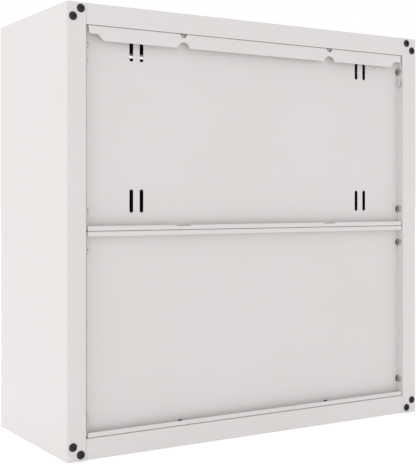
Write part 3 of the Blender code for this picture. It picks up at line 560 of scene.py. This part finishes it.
def side_fasteners():
    """Screws through the back trays' side flanges, and the front rails' tabs, with nuts in the stiles."""
    head = INNER - 2 * GAP - SHEET
    nut = INNER + SHEET + GAP
    for side in SIDES:
        outward = side * X_AXIS
        for number, offset in enumerate(SIDE_SCREW_OFFSETS, 1):
            z = TRAY_SEAM + offset
            tail = f"{side_name(side)}_{number}"
            name = f"side_button_screw_{tail}"
            node = f"back_side_screw_{tail}"
            seat = (side * head, FLANGE_SCREW_Y, z)
            put(SIDE_SCREW, name, seat, -outward, "cabinet", "zinc", node)
            seat = (side * nut, FLANGE_SCREW_Y, z)
            put(SMALL_NUT, f"side_nut_{tail}", seat, outward, "cabinet", "zinc")
        for end in ("upper", "lower"):
            for number, drop in enumerate(FRONT_SCREW_INSETS, 1):
                z = level(end, drop)
                tail = f"{end}_{side_name(side)}_{number}"
                seat = (side * head, FRONT_SCREW_Y, z)
                put(HANDLE_SCREW, f"front_corner_screw_{tail}", seat, -outward, "cabinet", "zinc")
                seat = (side * nut, FRONT_SCREW_Y, z)
                put(SMALL_NUT, f"front_corner_nut_{tail}", seat, outward, "cabinet", "zinc")


def flange_fasteners():
    """Upright screws through the trays' top flange, the seam between them and the bottom flange."""
    rows = {
        "top": (HEIGHT - REAR_RAIL - SEAM - SHEET - GAP, -1, HEIGHT - REAR_RAIL + SHEET + GAP),
        "seam": (TRAY_SEAM + SEAM / 2 + SHEET + GAP, 1, TRAY_SEAM - SEAM / 2 - SHEET - GAP),
        "bottom": (REAR_RAIL + SEAM + SHEET + GAP, 1, REAR_RAIL - SHEET - GAP),
    }
    for row, (head, up, nut) in rows.items():
        for side in SIDES:
            x = side * FLANGE_SCREW_X
            tail = f"{row}_{side_name(side)}"
            node = f"back_top_screw_{side_name(side)}" if row == "top" else None
            seat = (x, FLANGE_SCREW_Y, head)
            name = f"flange_screw_{tail}"
            put(SHORT_SCREW, name, seat, up * Z_AXIS, "cabinet", "zinc", node)
            seat = (x, FLANGE_SCREW_Y, nut)
            put(SMALL_NUT, f"flange_nut_{tail}", seat, -up * Z_AXIS, "cabinet", "zinc")


def catch_screws():
    """Screws up through the catches' housings, one at each end."""
    for side in SIDES:
        low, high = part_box(f"{side_name(side)}_catch_housing")
        middle = (low + high) / 2
        for number, offset in enumerate(CATCH_SCREW_OFFSETS, 1):
            seat = (middle.x + offset, middle.y, low.z - GAP)
            name = f"catch_screw_{side_name(side)}_{number}"
            put(CATCH_SCREW, name, seat, -Z_AXIS, "cabinet", "zinc")


def handle_screws():
    """Screws from inside the doors into the handles' feet."""
    for side in SIDES:
        name = f"{side_name(side)}_door"
        low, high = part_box(f"{name}_handle")
        x = (low.x + high.x) / 2
        for number, z in enumerate((low.z + END_INSET, high.z - END_INSET), 1):
            seat = (x, FRONT + SHEET + GAP, z)
            put(HANDLE_SCREW, f"handle_screw_{side_name(side)}_{number}", seat, Y_AXIS, name, "zinc")


def guide_rivets():
    """Rivets through the ends of the bolt's guide."""
    low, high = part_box("bolt_guide")
    x = (low.x + high.x) / 2
    for number, z in enumerate((low.z + END_INSET, high.z - END_INSET), 1):
        seat = (x, low.y + GUIDE_SHEET + GAP / 3, z)
        put(GUIDE_RIVET, f"guide_rivet_{number}", seat, Y_AXIS, "left_door", "zinc")


corner_fasteners()
side_fasteners()
flange_fasteners()
catch_screws()
handle_screws()
guide_rivets()


# ---- handles ----

HANDLE_BEND = 0.012  # radius of the bar's middle line
BEND_STEPS = 14
BAR_SIDES = 28
FOOT_EASE = 0.0004


def smooth_handle(side):
    """The bow handle as a smooth bar: two feet, two round bends and a straight grip."""
    node = f"{side_name(side)}_door_handle"
    low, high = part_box(node)
    radius = (high.x - low.x) / 2
    x = (low.x + high.x) / 2
    reach = low.y + radius
    foot = high.y
    bottom = low.z + radius
    top = high.z - radius
    bend = HANDLE_BEND
    path = [(foot, bottom, 0.0, -FOOT_EASE), (foot - FOOT_EASE, bottom, 0.0, 0.0)]
    for centre_z, first in ((bottom + bend, 0.0), (top - bend, math.pi / 2)):
        for step in range(BEND_STEPS + 1):
            turn = first + math.pi / 2 * step / BEND_STEPS
            y = reach + bend - bend * math.sin(turn)
            path.append((y, centre_z - bend * math.cos(turn), turn, 0.0))
    path += [(foot - FOOT_EASE, top, math.pi, 0.0), (foot, top, math.pi, -FOOT_EASE)]
    bm = bmesh.new()
    rings = []
    for y, z, turn, grow in path:
        across = Vector((0, -math.sin(turn), -math.cos(turn)))
        ring = []
        for k in range(BAR_SIDES):
            angle = math.tau * k / BAR_SIDES
            offset = X_AXIS * math.cos(angle) + across * math.sin(angle)
            ring.append(bm.verts.new(Vector((x, y, z)) + offset * (radius + grow)))
        rings.append(ring)
    for a, b in zip(rings, rings[1:]):
        joined(bm, a, b)
    bm.faces.new(rings[0])
    bm.faces.new(rings[-1])
    mesh = finished_mesh(f"{side_name(side)}_bow_handle", bm)
    mesh.materials.append(MATERIALS["handle_black"])
    obj = bpy.data.objects.new(mesh.name, mesh)
    bpy.context.scene.collection.objects.link(obj)
    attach(obj, f"{side_name(side)}_door")
    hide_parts(node)


for side in SIDES:
    smooth_handle(side)


# ---- floor, light and camera ----

FLOOR_DROP = 0.0004  # below the base, so that the two don't share a plane
FLOOR_REACH = 30.0


def floor():
    """A pale floor that glows a little, so that it fades into the white room."""
    made, tree, shader = new_material("studio_floor")
    where = object_coordinates(tree)
    patches = mottled(tree, where, 1.5, 3.0, (0.3, 0.7))
    body = blended(tree, patches, (0.93, 0.93, 0.93), (0.95, 0.95, 0.95))
    feed(tree, shader.inputs["Base Color"], body)
    feed(tree, shader.inputs["Emission Color"], body)
    shader.inputs["Emission Strength"].default_value = 0.32
    shader.inputs["Roughness"].default_value = 0.8
    bm = bmesh.new()
    bmesh.ops.create_grid(bm, x_segments=8, y_segments=8, size=FLOOR_REACH)
    mesh = bpy.data.meshes.new("studio_floor")
    bm.to_mesh(mesh)
    bm.free()
    mesh.materials.append(made)
    obj = bpy.data.objects.new("studio_floor", mesh)
    obj.location = (0, 0, -FLOOR_DROP)
    bpy.context.scene.collection.objects.link(obj)


def area_light(name, position, target, size, power):
    """A square light that faces its target."""
    data = bpy.data.lights.new(name, "AREA")
    data.shape = "SQUARE"
    data.size = size
    data.energy = power
    obj = bpy.data.objects.new(name, data)
    obj.location = position
    aim = Vector(target) - Vector(position)
    obj.rotation_euler = aim.to_track_quat("-Z", "Y").to_euler()
    bpy.context.scene.collection.objects.link(obj)


def white_room():
    """Soft light from all sides, from a room whose ceiling is darker on the wall side of the cabinet."""
    world = bpy.data.worlds.new("white_room")
    world.use_nodes = True
    tree = world.node_tree
    direction = add(tree, "ShaderNodeTexCoord", {}).outputs["Generated"]
    along = add(tree, "ShaderNodeSeparateXYZ", {"Vector": direction}).outputs
    towards_wall = spread(tree, along["Y"], 0.0, 0.5)
    overhead = spread(tree, along["Z"], 0.15, 0.5)
    strength = spread(tree, times(tree, towards_wall, overhead), 0.0, 1.0, 1.0, 0.79)
    background = tree.nodes["Background"]
    background.inputs["Color"].default_value = (1, 1, 1, 1)
    feed(tree, background.inputs["Strength"], strength)
    bpy.context.scene.world = world


def camera():
    """Level, behind the cabinet and to its right, with the frame shifted to hold all of it."""
    data = bpy.data.cameras.new("camera")
    data.sensor_width = 36.0
    data.lens = 79.19
    data.shift_x = -0.0959
    data.shift_y = -0.0722
    obj = bpy.data.objects.new("camera", data)
    obj.location = (0.9668, 1.6249, 0.4067)
    obj.rotation_euler = (math.radians(90), 0, math.radians(147.15))
    bpy.context.scene.collection.objects.link(obj)
    bpy.context.scene.camera = obj


floor()
white_room()
area_light("side_light", position=(3.2, 0.9, 1.4), target=(0.2, 0.1, 0.35), size=2.0, power=12)
camera()
bpy.context.scene.view_settings.view_transform = "Standard"
